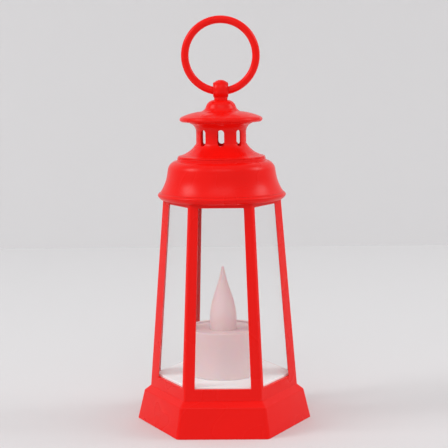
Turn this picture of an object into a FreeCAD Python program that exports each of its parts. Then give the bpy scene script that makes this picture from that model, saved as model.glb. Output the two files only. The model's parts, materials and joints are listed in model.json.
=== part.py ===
"""Small hexagonal candle lantern, moulded in plastic, with a battery candle inside.

The lantern stands on the plane z = 0 with +Z up. Its origin is the middle of the underside.
Two of the six sides face -Y (the front) and +Y (the back), so two corners lie on the X axis.
All sizes are millimetres. One STEP file is written for each piece.
"""

import FreeCAD
import Part
import math
import os
from FreeCAD import Vector

# ---------------------------------------------------------------- driving sizes

# The hexagonal skirt that the lantern stands on. Corner radii run from the axis to a corner.
base_corner_radius = 30.25  # before the corners are rounded
skirt_height = 10.0
skirt_draft = 2.4           # corner radius lost between the foot and the top of the skirt
skirt_wall = 1.5
ledge_height = 1.75         # the sloping ledge between the skirt and the cage
ledge_step = 2.3            # corner radius lost over that ledge
skirt_edge_radius = 1.6     # rounding of the upright corner edges
deck_thickness = 1.8        # the skirt's inner deck, measured down from the top of the ledge

# The cage: six leaning posts between a sill and a lintel.
cage_height = 66.3
cage_lean = 5.45            # corner radius lost between the foot and the top of the cage
cage_wall = 1.3
cage_edge_radius = 1.1
sill_height = 3.85
lintel_height = 2.85
post_width_bottom = 3.33    # width of the four front and back posts on the front and back faces
post_width_top = 2.75
post_return = 0.8           # how far those posts reach round their corners, measured along X
side_post_bottom = 2.95     # width along X of the two posts that stand at the left and right corners
side_post_top = 2.5
seat_thickness = 1.5        # the inward flange that carries the tray
spigot_depth = 2.6          # how far the cage's spigot reaches down through the deck
spigot_wall = 1.4

# Clear window panes.
pane_thickness = 0.5
pane_gap = 0.05             # to the inside of the cage; the panes stand on the tray
pane_mitre_gap = 0.2        # half the gap between two neighbouring panes
pane_top_gap = 0.3          # below the web of the roof

# The white tray under the candle.
tray_thickness = 1.4
tray_rise = 0.6             # how far the tray's top stands above the sill
tray_gap = 0.1              # to the inside of the cage
tray_rim_wall = 1.2
locating_ring_height = 1.5
locating_ring_wall = 1.2

# The candle and its flame.
candle_radius = 12.7
candle_height = 16.0
candle_wall = 1.2
candle_top_thickness = 1.0
candle_rim_width = 1.3
candle_recess = 0.7
candle_edge_radius = 0.5
flame_radius = 4.6
flame_height = 21.8         # visible height above the candle's recessed top
flame_straight = 3.6        # the straight-sided foot of the flame
flame_tip_radius = 0.45
flame_wall = 1.4
flame_socket_wall = 1.55
flame_socket_depth = 10.5
flame_stem_extra = 0.6      # the stem reaches this far out of the bottom of its socket
press_gap = 0.03            # radial gap between pieces that are pressed together

# The roof dome.
rim_overhang = 1.75         # beyond the corners of the cage
rim_height = 1.4            # from the underside of the rim to its widest line
rim_drop = 1.45             # how far the rim hangs below the top of the cage
dome_height = 11.55         # from the top of the cage to the top of the dome
dome_wall = 1.3
dome_waist_step = 3.25      # radius lost between the rim and the dome's upright wall
dome_waist_height = 6.6     # height of that wall's foot above the top of the cage
dome_wall_height = 2.4
dome_wall_lean = 0.4
dome_shoulder = 2.45        # radius lost over the rounded shoulder
web_thickness = 1.2
web_hole_radius = 11.0
collar_height = 1.05        # the raised ring on the dome, which the neck stands on
collar_step = 0.75          # radius by which that ring stands inside the dome's top
roof_spigot_depth = 2.3
roof_spigot_wall = 1.2
roof_spigot_gap = 0.15

# The vent neck that stands on the dome.
neck_radius = 8.55
neck_wall = 0.8
neck_height = 13.2
neck_skirt_step = 0.95      # radius by which the neck's flared skirt stands inside the dome's top
neck_skirt_height = 5.9
neck_lip_height = 0.6
neck_lip_edge = 0.3         # rounding of the lip's upper edge
neck_flange_overhang = 2.05
neck_flange_height = 3.0
neck_flange_lip = 0.55
neck_spigot_step = 1.2
neck_spigot_depth = 1.8
vent_count = 8
vent_width = 2.2
vent_height = 5.4
vent_foot = 5.2             # height of the slots above the dome's top

# The chimney cap.
cap_radius = 14.05
cap_edge_height = 0.8       # height of the widest line above the cap's underside
cap_slope_height = 3.4      # from the underside to the foot of the bell
cap_height = 7.2
cap_underside_inset = 1.35
bell_foot_radius = 6.8
bell_waist_radius = 5.1
bell_waist_height = 1.55    # above the foot of the bell
bell_shoulder_radius = 4.3
bell_top_radius = 2.8
cap_spigot_depth = 2.3
cap_spigot_wall = 1.2
cap_shell = 1.3
clip_boss_radius = 3.4

# The ring and the clip that holds it.
ring_outer_radius = 13.25
ring_tube_radius = 1.3
ring_drop = 1.65            # height of the ring's lowest point above the top of the cap
eye_width = 5.1
eye_radius = 3.4
eye_end_radius = 2.6
eye_bore_gap = 0.35         # the ring is curved, so its bore is wider than its tube
clip_foot_radius = 2.35     # the round foot between the eye and the cap
clip_spigot_radius = 1.9
clip_slot_width = 1.0
clip_barb = 0.3
clip_barb_height = 0.9
clip_socket_gap = 0.05

# The bottom plate, its screws and the battery door.
plate_recess = 0.6          # above the plane that the lantern stands on
plate_thickness = 1.6
plate_gap = 0.35
well_wall = 1.2
screw_count = 3
screw_radius = 1.0
screw_length = 6.4
screw_head_radius = 1.9
screw_head_height = 1.0
screw_hole_gap = 0.15
screw_pilot_gap = 0.02
boss_radius = 2.2
door_thickness = 1.4
door_gap = 0.2
door_wall = 0.7
door_pad_height = 0.3
door_lug_reach = 1.4        # how far a lug reaches past the door's edge
door_lug_thickness = 0.95
door_lug_angle = 30.0
door_turn = 40.0            # from locked to open
door_lug_count = 2
door_slot_length = 12.0
door_slot_width = 1.8
door_slot_depth = 0.7
running_gap = 0.15          # between faces that slide over each other

# The coin cell and the electric parts.
cell_radius = 10.0
cell_height = 3.2
cell_step = 1.2             # the cap of the cell is narrower than its can
cell_cap_height = 0.5
cell_gap = 0.2
board_clearance = 1.8       # from the cell up to the board
board_thickness = 1.0
board_radius = 13.4
board_tongue_reach = 18.3
board_tongue_width = 9.2
board_screw_circle = 12.0
board_screw_radius = 0.7
board_screw_length = 4.0
board_screw_head_radius = 1.4
board_screw_head_height = 1.0
contact_thickness = 0.3
contact_width = 3.4
switch_circle = 16.2        # distance of the switch from the axis, towards -X
switch_length = 8.5
switch_width = 3.6
switch_height = 3.5
knob_length = 3.0
knob_width = 1.5
knob_recess = 0.3           # above the underside of the plate
shoe_length = 4.0
shoe_width = 2.4
shoe_height = 1.1
switch_travel = 2.0
led_radius = 2.5
led_flange_radius = 2.9
led_flange_height = 1.0
led_height = 8.6
led_leg_size = 0.5
led_leg_spacing = 2.54
holder_radius = 3.0
holder_bore = 2.0
holder_foot_radius = 4.5
holder_foot_height = 1.2
holder_rise = 8.8           # above the tray
holder_hole_gap = 0.1
resistor_radius = 0.9
resistor_length = 3.4
resistor_lead_radius = 0.25

# ---------------------------------------------------------------- derived places

COS30 = math.cos(math.radians(30.0))
CORNERS = 6

deck_top = skirt_height + ledge_height
deck_bottom = deck_top - deck_thickness
skirt_top_radius = base_corner_radius - skirt_draft
cage_foot_radius = skirt_top_radius - ledge_step
cage_top_radius = cage_foot_radius - cage_lean
cage_top = deck_top + cage_height
sill_top = deck_top + sill_height
lintel_bottom = cage_top - lintel_height
seat_top = deck_top + seat_thickness
tray_top = sill_top + tray_rise
tray_bottom = tray_top - tray_thickness
candle_top = tray_top + candle_height
candle_floor_top = candle_top - candle_recess
socket_bottom = candle_floor_top - flame_socket_depth
dome_top = cage_top + dome_height
dome_wall_radius = cage_top_radius + rim_overhang - dome_waist_step
dome_top_radius = dome_wall_radius - dome_wall_lean - dome_shoulder
neck_top = dome_top + neck_height
collar_top = dome_top + collar_height
collar_radius = dome_top_radius - collar_step
neck_skirt_radius = dome_top_radius - neck_skirt_step
neck_bore = neck_radius - neck_wall
cap_top = neck_top + cap_height
ring_radius = ring_outer_radius - ring_tube_radius
eye_height = cap_top + ring_drop + ring_tube_radius
eye_bore = ring_tube_radius + eye_bore_gap
plate_top = plate_recess + plate_thickness
plate_inset = (skirt_wall + plate_gap) / COS30
plate_radius = base_corner_radius - plate_inset - skirt_draft * plate_top / skirt_height
boss_circle = skirt_top_radius - (skirt_wall + boss_radius) / COS30
deck_opening_radius = boss_circle - boss_radius - 1.0
door_radius = cell_radius + cell_gap + door_wall
lug_radius = door_radius + door_lug_reach
lug_bottom = plate_top + running_gap
lug_top = lug_bottom + door_lug_thickness
well_radius = lug_radius + door_gap + well_wall
well_step = lug_top + running_gap
door_top = plate_recess + door_thickness
cell_bottom = door_top + door_pad_height + 0.1
cell_top = cell_bottom + cell_height
board_bottom = cell_top + board_clearance
board_top = board_bottom + board_thickness
holder_top = tray_top + holder_rise
switch_bottom = board_bottom - switch_height


# ---------------------------------------------------------------- building blocks

def cage_radius(height):
    """Corner radius of the outside of the cage at a height."""
    return cage_foot_radius - cage_lean * (height - deck_top) / cage_height


def skirt_radius(height):
    """Corner radius of the outside of the skirt at a height, below the ledge."""
    return base_corner_radius - skirt_draft * height / skirt_height


def polar(radius, degrees, height=0.0):
    angle = math.radians(degrees)
    return Vector(radius * math.cos(angle), radius * math.sin(angle), height)


def hexagon(corner_radius, height, edge_radius=0.0):
    """A closed hexagon wire, its corners rounded when edge_radius is above zero."""
    corners = [polar(corner_radius, 60.0 * i, height) for i in range(CORNERS)]
    if edge_radius == 0.0:
        return Part.makePolygon(corners + [corners[0]])
    setback = edge_radius * math.tan(math.radians(30.0))
    crown_radius = corner_radius - edge_radius * (1.0 / COS30 - 1.0)
    edges = []
    for i in range(CORNERS):
        corner = corners[i]
        before = corner + (corners[i - 1] - corner).normalize() * setback
        after = corner + (corners[(i + 1) % CORNERS] - corner).normalize() * setback
        next_corner = corners[(i + 1) % CORNERS]
        next_before = next_corner + (corner - next_corner).normalize() * setback
        edges.append(Part.Arc(before, polar(crown_radius, 60.0 * i, height), after).toShape())
        edges.append(Part.LineSegment(after, next_before).toShape())
    return Part.Wire(edges)


def hex_frustum(radius_bottom, radius_top, bottom, top, edge_radius=0.0):
    """A six-sided block whose corner radius changes evenly from bottom to top."""
    wires = [hexagon(radius_bottom, bottom, edge_radius), hexagon(radius_top, top, edge_radius)]
    return Part.makeLoft(wires, True, True)


def rod(radius, bottom, top, x=0.0, y=0.0):
    return Part.makeCylinder(radius, top - bottom, Vector(x, y, bottom))


def tube(outer, inner, bottom, top):
    return rod(outer, bottom, top).cut(rod(inner, bottom, top))


def block(x, y, z):
    """A box from three (low, high) pairs."""
    return Part.makeBox(x[1] - x[0], y[1] - y[0], z[1] - z[0], Vector(x[0], y[0], z[0]))


def about_z(shape, degrees):
    turned = shape.copy()
    turned.rotate(Vector(0, 0, 0), Vector(0, 0, 1), degrees)
    return turned


def outline(start, *steps):
    """A closed wire in the XZ plane from (radius, height) points.

    A step of one point is a straight run, and a step of two is an arc through the first
    point to the second.
    """
    here = Vector(start[0], 0, start[1])
    first = here
    edges = []
    for step in steps:
        points = [Vector(r, 0, z) for r, z in step]
        if len(points) == 1:
            edges.append(Part.LineSegment(here, points[0]).toShape())
        else:
            edges.append(Part.Arc(here, points[0], points[1]).toShape())
        here = points[-1]
    edges.append(Part.LineSegment(here, first).toShape())
    return Part.Wire(edges)


def revolved(wire):
    return Part.Face(wire).revolve(Vector(0, 0, 0), Vector(0, 0, 1), 360)


def sector(inner, outer, bottom, top, middle, width):
    """A piece of a ring, width degrees wide and centred on the angle middle."""
    half = width / 2.0
    points = [polar(inner, middle - half, bottom), polar(outer, middle - half, bottom)]
    side = Part.LineSegment(points[0], points[1]).toShape()
    far_outer = polar(outer, middle + half, bottom)
    far_inner = polar(inner, middle + half, bottom)
    outer_arc = Part.Arc(points[1], polar(outer, middle, bottom), far_outer).toShape()
    back = Part.LineSegment(far_outer, far_inner).toShape()
    inner_arc = Part.Arc(far_inner, polar(inner, middle, bottom), points[0]).toShape()
    return Part.Face(Part.Wire([side, outer_arc, back, inner_arc])).extrude(Vector(0, 0, top - bottom))


# ---------------------------------------------------------------- base

def make_base_skirt():
    """The hexagonal housing: drafted walls, a sloping ledge, a deck and three screw bosses."""
    walls = hex_frustum(base_corner_radius, skirt_top_radius, 0, skirt_height, skirt_edge_radius)
    ledge = hex_frustum(skirt_top_radius, cage_foot_radius, skirt_height, deck_top, skirt_edge_radius)
    inset = skirt_wall / COS30
    hollow = hex_frustum(skirt_radius(0) - inset, skirt_radius(deck_bottom) - inset, 0, deck_bottom)
    opening = hex_frustum(deck_opening_radius, deck_opening_radius, deck_bottom, deck_top)
    skirt = walls.fuse(ledge).cut(hollow).cut(opening)
    pilot_depth = plate_top + screw_length
    for i in range(screw_count):
        x, y, _ = polar(boss_circle, i * 360.0 / screw_count)
        skirt = skirt.fuse(rod(boss_radius, plate_top, deck_bottom, x, y))
        pilot_top = min(pilot_depth, deck_bottom)
        skirt = skirt.cut(rod(screw_radius + screw_pilot_gap, plate_top, pilot_top, x, y))
    return skirt.removeSplitter()


def make_base_plate():
    """The bottom plate, with the round battery well and the slot for the switch's knob."""
    plate = hex_frustum(plate_radius, plate_radius, plate_recess, plate_top)
    well = rod(well_radius, plate_top, board_bottom)
    plate = plate.fuse(well)
    plate = plate.cut(rod(door_radius + door_gap, plate_recess, plate_top))
    plate = plate.cut(rod(lug_radius + door_gap, plate_top, well_step))
    plate = plate.cut(rod(cell_radius + cell_gap, well_step, board_bottom))
    for i in range(door_lug_count):
        middle = door_turn + i * 360.0 / door_lug_count
        notch_angle = door_lug_angle + 3.0
        notch = sector(cell_radius, lug_radius + door_gap, plate_recess, plate_top, middle, notch_angle)
        plate = plate.cut(notch)
    pocket_reach = cell_radius + 1.4
    pocket_y = contact_width / 2 + 0.3
    plate = plate.cut(block((0, pocket_reach), (-pocket_y, pocket_y), (well_step, board_bottom)))
    for y in (-board_screw_circle, board_screw_circle):
        hole = rod(board_screw_radius + screw_pilot_gap, board_top - board_screw_length, board_bottom, 0, y)
        plate = plate.cut(hole)
    slot_y = (knob_length + switch_travel) / 2 + 0.4
    slot_x = knob_width / 2 + 0.3
    slot_middle = -switch_circle
    slot = block((slot_middle - slot_x, slot_middle + slot_x), (-slot_y, slot_y), (plate_recess, plate_top))
    plate = plate.cut(slot)
    for i in range(screw_count):
        x, y, _ = polar(boss_circle, i * 360.0 / screw_count)
        plate = plate.cut(rod(screw_radius + screw_hole_gap, plate_recess, plate_top, x, y))
        sink_top = plate_recess + screw_head_height
        plate = plate.cut(rod(screw_head_radius + screw_hole_gap, plate_recess, sink_top, x, y))
    return plate.removeSplitter()


def make_battery_door():
    """A round door with two bayonet lugs and a coin slot. It turns about the lantern's axis."""
    door = rod(door_radius, plate_recess, door_top)
    door = door.fuse(tube(door_radius, door_radius - door_wall, door_top, lug_top))
    door = door.fuse(rod(cell_radius * 0.6, door_top, door_top + door_pad_height))
    for i in range(door_lug_count):
        middle = i * 360.0 / door_lug_count
        root = door_radius - door_wall
        door = door.fuse(sector(root, lug_radius, lug_bottom, lug_top, middle, door_lug_angle))
    half_length = door_slot_length / 2 - door_slot_width / 2
    slot_top = plate_recess + door_slot_depth
    half_width = door_slot_width / 2
    slot = block((-half_length, half_length), (-half_width, half_width), (plate_recess, slot_top))
    for x in (-half_length, half_length):
        slot = slot.fuse(rod(half_width, plate_recess, slot_top, x, 0))
    return door.cut(slot).removeSplitter()


def make_screw(x, y, bottom, head_radius, head_height, radius, length, head_down):
    """A pan-head screw with a cross recess. Its head is below the shank when head_down is true."""
    head = rod(head_radius, 0, head_height)
    bars = block((-head_radius * 0.6, head_radius * 0.6), (-0.2, 0.2), (0, head_height / 2))
    head = head.cut(bars).cut(about_z(bars, 90))
    screw = head.fuse(rod(radius, head_height, length)).fuse(
        Part.makeCone(radius, radius * 0.3, radius, Vector(0, 0, length)))
    if not head_down:
        screw.rotate(Vector(0, 0, 0), Vector(1, 0, 0), 180)
    screw.translate(Vector(x, y, bottom))
    return screw


def make_base_screws():
    screws = []
    for i in range(screw_count):
        x, y, _ = polar(boss_circle, i * 360.0 / screw_count)
        screws.append(make_screw(x, y, plate_recess, screw_head_radius, screw_head_height,
                                 screw_radius, screw_length, True))
    return Part.makeCompound(screws)


# ---------------------------------------------------------------- cage and windows

def window_cut(low_left, low_right, high_left, high_right, near):
    """A four-sided window as seen from the front, from y = -near out through the front."""
    corners = [(low_left, sill_top), (low_right, sill_top),
               (high_right, lintel_bottom), (high_left, lintel_bottom)]
    points = [Vector(x, -near, z) for x, z in corners]
    return Part.Face(Part.makePolygon(points + [points[0]])).extrude(Vector(0, near - cage_foot_radius, 0))


def make_cage():
    """Sill, six posts and lintel in one moulding, with a seat flange and a spigot below.

    The mould opens along Y, so every window is cut straight along Y, and the windows on the
    four slanting faces run from close beside the front and back corners to the side posts.
    """
    inset = cage_wall / COS30
    shell = hex_frustum(cage_foot_radius, cage_top_radius, deck_top, cage_top, cage_edge_radius)
    inside = hex_frustum(cage_radius(seat_top) - inset, cage_top_radius - inset, seat_top, cage_top)
    spigot_radius = deck_opening_radius - press_gap / COS30
    spigot = hex_frustum(spigot_radius, spigot_radius, deck_top - spigot_depth, deck_top)
    bore_radius = spigot_radius - spigot_wall / COS30
    bore = hex_frustum(bore_radius, bore_radius, deck_top - spigot_depth, seat_top)
    cage = shell.cut(inside).fuse(spigot).cut(bore)
    half_bottom = cage_radius(sill_top) / 2 - post_width_bottom
    half_top = cage_radius(lintel_bottom) / 2 - post_width_top
    near = (cage_top_radius - inset) * COS30 - 2.0
    flat = window_cut(-half_bottom, half_bottom, -half_top, half_top, near)
    low_near = cage_radius(sill_top) / 2 + post_return
    low_far = cage_radius(sill_top) - side_post_bottom
    high_near = cage_radius(lintel_bottom) / 2 + post_return
    high_far = cage_radius(lintel_bottom) - side_post_top
    right = window_cut(low_near, low_far, high_near, high_far, 0.0)
    left = window_cut(-low_far, -low_near, -high_far, -high_near, 0.0)
    for window in (flat, right, left):
        cage = cage.cut(window).cut(about_z(window, 180))
    return cage.removeSplitter()


def make_pane(index):
    """One clear pane: a slice of a thin six-sided funnel, mitred against its neighbours."""
    foot = tray_top
    top = cage_top - pane_top_gap
    outer_inset = (cage_wall + pane_gap) / COS30
    inner_inset = outer_inset + pane_thickness / COS30
    outer = hex_frustum(cage_radius(foot) - outer_inset, cage_radius(top) - outer_inset, foot, top)
    inner = hex_frustum(cage_radius(foot) - inner_inset, cage_radius(top) - inner_inset, foot, top)
    middle = 270.0 + 60.0 * index
    apex = polar(2 * pane_mitre_gap, middle)
    reach = 2 * cage_foot_radius
    points = [apex, apex + polar(reach, middle - 30), apex + polar(reach, middle + 30), apex]
    wedge = Part.Face(Part.makePolygon(points)).extrude(Vector(0, 0, 2 * cage_top))
    return outer.cut(inner).common(wedge)


def make_floor_tray():
    """The white tray: a plate with a turned-down rim and a ring that locates the candle."""
    radius = cage_radius(tray_top) - (cage_wall + tray_gap) / COS30
    tray = hex_frustum(radius, radius, seat_top, tray_top)
    inner = radius - tray_rim_wall / COS30
    tray = tray.cut(hex_frustum(inner, inner, seat_top, tray_bottom))
    ring_outer = candle_radius - candle_wall - press_gap
    ring = tube(ring_outer, ring_outer - locating_ring_wall, tray_top, tray_top + locating_ring_height)
    return tray.fuse(ring).cut(rod(holder_radius + holder_hole_gap, seat_top, tray_top)).removeSplitter()


# ---------------------------------------------------------------- candle

def make_candle_shell():
    """A milky cup upside down, with a shallow recess on top and a socket for the flame."""
    wall_in = candle_radius - candle_wall
    socket_bore = flame_radius + press_gap
    socket_out = socket_bore + flame_socket_wall
    ceiling = candle_floor_top - candle_top_thickness
    edge = candle_edge_radius
    rim_in = candle_radius - candle_rim_width
    profile = outline(
        (wall_in, tray_top),
        [(candle_radius, tray_top)],
        [(candle_radius, candle_top - edge)],
        [(candle_radius - edge * 0.29, candle_top - edge * 0.29), (candle_radius - edge, candle_top)],
        [(rim_in + 0.3, candle_top)],
        [(rim_in, candle_top - 0.3)],
        [(rim_in - 0.1, candle_floor_top)],
        [(socket_bore, candle_floor_top)],
        [(socket_bore, socket_bottom)],
        [(socket_out, socket_bottom)],
        [(socket_out, ceiling)],
        [(wall_in, ceiling)],
    )
    return revolved(profile)


def flame_outline(shrink, foot, tip):
    """Half of the flame's outline: a straight foot and a long curve up to the tip."""
    radius = flame_radius - shrink
    straight_top = candle_floor_top + flame_straight
    tip_radius = max(flame_tip_radius - shrink * 0.2, 0.2)
    rise = tip - straight_top
    curve = Part.BSplineCurve()
    curve.interpolate([
        Vector(radius, 0, straight_top),
        Vector(radius * 0.86, 0, straight_top + rise * 0.33),
        Vector(radius * 0.47, 0, straight_top + rise * 0.6),
        Vector(tip_radius + 0.3, 0, straight_top + rise * 0.88),
        Vector(tip_radius * 0.7, 0, tip - tip_radius * 0.3),
    ])
    crown = Vector(0, 0, tip)
    edges = [
        Part.LineSegment(Vector(0, 0, foot), Vector(radius, 0, foot)).toShape(),
        Part.LineSegment(Vector(radius, 0, foot), Vector(radius, 0, straight_top)).toShape(),
        curve.toShape(),
        Part.LineSegment(curve.EndPoint, crown).toShape(),
        Part.LineSegment(crown, Vector(0, 0, foot)).toShape(),
    ]
    return Part.Wire(edges)


def make_candle_flame():
    """A hollow flame with a stem that plugs into the candle's socket, round the lamp."""
    foot = socket_bottom - flame_stem_extra
    tip = candle_floor_top + flame_height
    outside = revolved(flame_outline(0.0, foot, tip))
    bore = flame_radius - flame_wall
    lamp_top = holder_top + led_height
    cavity = rod(bore, foot, lamp_top)
    crown = Part.makeCone(bore, bore * 0.3, bore, Vector(0, 0, lamp_top))
    return outside.cut(cavity.fuse(crown))


def make_led():
    """A round lamp with a flange at its foot and a domed top."""
    flange_top = holder_top + led_flange_height
    dome_centre = holder_top + led_height - led_radius
    lamp = rod(led_flange_radius, holder_top, flange_top).fuse(rod(led_radius, flange_top, dome_centre))
    dome = Part.makeSphere(led_radius, Vector(0, 0, dome_centre), Vector(0, 0, 1), 0, 90, 360)
    return lamp.fuse(dome).removeSplitter()


def make_led_legs():
    half = led_leg_size / 2
    legs = []
    for x in (-led_leg_spacing / 2, led_leg_spacing / 2):
        legs.append(block((x - half, x + half), (-half, half), (board_top, holder_top)))
    return Part.makeCompound(legs)


def make_led_holder():
    """A tube that stands on the board, comes up through the tray and carries the lamp."""
    holder = rod(holder_radius, board_top, holder_top).fuse(
        rod(holder_foot_radius, board_top, board_top + holder_foot_height))
    return holder.cut(rod(holder_bore, board_top, holder_top))


# ---------------------------------------------------------------- electric parts

def make_circuit_board():
    half = board_tongue_width / 2
    board = rod(board_radius, board_bottom, board_top)
    board = board.fuse(block((-board_tongue_reach, 0), (-half, half), (board_bottom, board_top)))
    for y in (-board_screw_circle, board_screw_circle):
        board = board.cut(rod(board_screw_radius + screw_hole_gap, board_bottom, board_top, 0, y))
    return board.removeSplitter()


def make_board_screws():
    top = board_top + board_screw_head_height
    screws = []
    for y in (-board_screw_circle, board_screw_circle):
        screws.append(make_screw(0, y, top, board_screw_head_radius, board_screw_head_height,
                                 board_screw_radius, board_screw_length, False))
    return Part.makeCompound(screws)


def make_coin_cell():
    """A coin cell, its wide can below and its narrower cap above."""
    can_top = cell_top - cell_cap_height
    cell = rod(cell_radius, cell_bottom, can_top)
    rims = [edge for edge in cell.Edges if edge.BoundBox.ZLength < 0.01]
    cell = cell.makeFillet(0.3, rims)
    return cell.fuse(rod(cell_radius - cell_step, can_top - 0.1, cell_top)).removeSplitter()


def strip(points, thickness, width):
    """A flat spring strip that follows points in the XZ plane, centred on y = 0."""
    low = [Vector(x, -width / 2, z) for x, z in points]
    high = [Vector(x, -width / 2, z + thickness) for x, z in reversed(points)]
    return Part.Face(Part.makePolygon(low + high + [low[0]])).extrude(Vector(0, width, 0))


def make_negative_contact():
    """A leaf under the board that presses on the cap of the cell."""
    reach = cell_radius * 0.5
    foot = board_bottom - contact_thickness
    points = [(-reach, foot), (-reach * 0.4, foot), (reach * 0.6, cell_top), (reach, cell_top)]
    return strip(points, contact_thickness, contact_width)


def make_positive_contact():
    """An upright blade beside the cell, with a foot turned out under the board."""
    inner = cell_radius + 0.05
    outer = inner + contact_thickness
    half = contact_width / 2
    blade = block((inner, outer), (-half, half), (well_step + 0.1, board_bottom))
    foot_bottom = board_bottom - contact_thickness
    foot = block((inner, cell_radius + 1.1), (-half, half), (foot_bottom, board_bottom))
    return blade.fuse(foot).removeSplitter()


def make_switch_body():
    """A slide switch hanging under the board, with a chamber for its slider."""
    x = -switch_circle
    half_width = switch_width / 2
    half_length = switch_length / 2
    sides = (x - half_width, x + half_width)
    body = block(sides, (-half_length, half_length), (switch_bottom, board_bottom))
    mouth_x = knob_width / 2 + 0.1
    mouth_y = (knob_length + switch_travel) / 2 + 0.1
    mouth_top = switch_bottom + 0.4
    body = body.cut(block((x - mouth_x, x + mouth_x), (-mouth_y, mouth_y), (switch_bottom, mouth_top)))
    room_x = shoe_width / 2 + 0.1
    room_y = (shoe_length + switch_travel) / 2 + 0.1
    room = block((x - room_x, x + room_x), (-room_y, room_y), (mouth_top, mouth_top + shoe_height + 0.2))
    return body.cut(room)


def make_switch_slider():
    """The slider in its off place, at the -Y end of its travel."""
    x = -switch_circle
    y = -switch_travel / 2
    shoe_bottom = switch_bottom + 0.5
    half = knob_length / 2
    knob = block((x - knob_width / 2, x + knob_width / 2), (y - half, y + half),
                 (plate_recess + knob_recess, shoe_bottom))
    half = shoe_length / 2
    shoe = block((x - shoe_width / 2, x + shoe_width / 2), (y - half, y + half),
                 (shoe_bottom, shoe_bottom + shoe_height))
    return knob.fuse(shoe).removeSplitter()


def make_resistor():
    """A resistor lying on the board, with two bent leads."""
    x = board_radius * 0.55
    height = board_top + resistor_radius + 0.3
    half = resistor_length / 2
    body = Part.makeCylinder(resistor_radius, resistor_length, Vector(x, -half, height), Vector(0, 1, 0))
    reach = half + 1.2
    lead = Part.makeCylinder(resistor_lead_radius, 2 * reach, Vector(x, -reach, height), Vector(0, 1, 0))
    resistor = body.fuse(lead)
    for y in (-reach, reach):
        resistor = resistor.fuse(rod(resistor_lead_radius, board_top, height, x, y))
    return resistor.removeSplitter()


# ---------------------------------------------------------------- roof

def make_roof_dome():
    """The dome: a rounded rim, a hollow curve, an upright wall, a shoulder and an inner web."""
    rim_bottom = cage_top - rim_drop
    widest = rim_bottom + rim_height
    rim_radius = cage_top_radius + rim_overhang
    bore = cage_radius(rim_bottom)
    wall_foot = cage_top + dome_waist_height
    wall_top = wall_foot + dome_wall_height
    wall_top_radius = dome_wall_radius - dome_wall_lean
    flare_top = widest + 0.75
    inner_wall = dome_wall_radius - dome_wall
    ceiling = dome_top - dome_wall
    web_bottom = cage_top
    web_top = web_bottom + web_thickness
    spigot_out = (cage_top_radius * COS30 - cage_wall - pane_gap - pane_thickness) - roof_spigot_gap
    spigot_in = spigot_out - roof_spigot_wall
    profile = outline(
        (bore, rim_bottom),
        [(bore + 0.35, rim_bottom)],
        [(rim_radius - 0.5, widest - 0.75), (rim_radius, widest)],
        [(rim_radius - 0.25, widest + 0.5), (rim_radius - 0.9, flare_top + 0.25)],
        [(dome_wall_radius + 0.9, cage_top + 3.6), (dome_wall_radius, wall_foot)],
        [(wall_top_radius, wall_top)],
        [(wall_top_radius - 0.6, dome_top - 1.3), (dome_top_radius, dome_top)],
        [(collar_radius, dome_top)],
        [(collar_radius, collar_top)],
        [(neck_radius + neck_spigot_step, collar_top)],
        [(neck_radius + neck_spigot_step, ceiling)],
        [(dome_top_radius - 0.6, ceiling)],
        [(inner_wall - 0.5, wall_top - 0.9)],
        [(inner_wall, wall_foot)],
        [(inner_wall, web_top)],
        [(web_hole_radius, web_top)],
        [(web_hole_radius, web_bottom)],
        [(spigot_in, web_bottom)],
        [(spigot_in, cage_top - roof_spigot_depth)],
        [(spigot_out, cage_top - roof_spigot_depth)],
        [(spigot_out, web_bottom)],
        [(bore, web_bottom)],
    )
    return revolved(profile)


def make_vent_neck():
    """The flared neck with its ring of round-ended vent slots."""
    lip_top = collar_top + neck_lip_height
    skirt_top = dome_top + neck_skirt_height
    flange_foot = neck_top - neck_flange_height
    flange_radius = neck_radius + neck_flange_overhang
    spigot_radius = neck_radius + neck_spigot_step - press_gap
    span = neck_skirt_radius - neck_radius
    profile = outline(
        (neck_bore, dome_top - neck_spigot_depth),
        [(spigot_radius, dome_top - neck_spigot_depth)],
        [(spigot_radius, collar_top)],
        [(neck_skirt_radius, collar_top)],
        [(neck_skirt_radius, lip_top - neck_lip_edge)],
        [(neck_skirt_radius - neck_lip_edge * 0.29, lip_top - neck_lip_edge * 0.29),
         (neck_skirt_radius - neck_lip_edge, lip_top)],
        [(neck_radius + span * 0.3, lip_top + (skirt_top - lip_top) * 0.47), (neck_radius, skirt_top)],
        [(neck_radius, flange_foot)],
        [(neck_radius + 0.75, neck_top - 1.35), (flange_radius, neck_top - neck_flange_lip)],
        [(flange_radius, neck_top)],
        [(neck_bore, neck_top)],
    )
    neck = revolved(profile)
    low = dome_top + vent_foot + vent_width / 2
    high = dome_top + vent_foot + vent_height - vent_width / 2
    half = vent_width / 2
    reach = neck_skirt_radius
    slot = block((-half, half), (-reach, 0), (low, high))
    for height in (low, high):
        slot = slot.fuse(Part.makeCylinder(half, reach, Vector(0, 0, height), Vector(0, -1, 0)))
    for i in range(vent_count):
        neck = neck.cut(about_z(slot, i * 360.0 / vent_count))
    return neck.removeSplitter()


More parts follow.
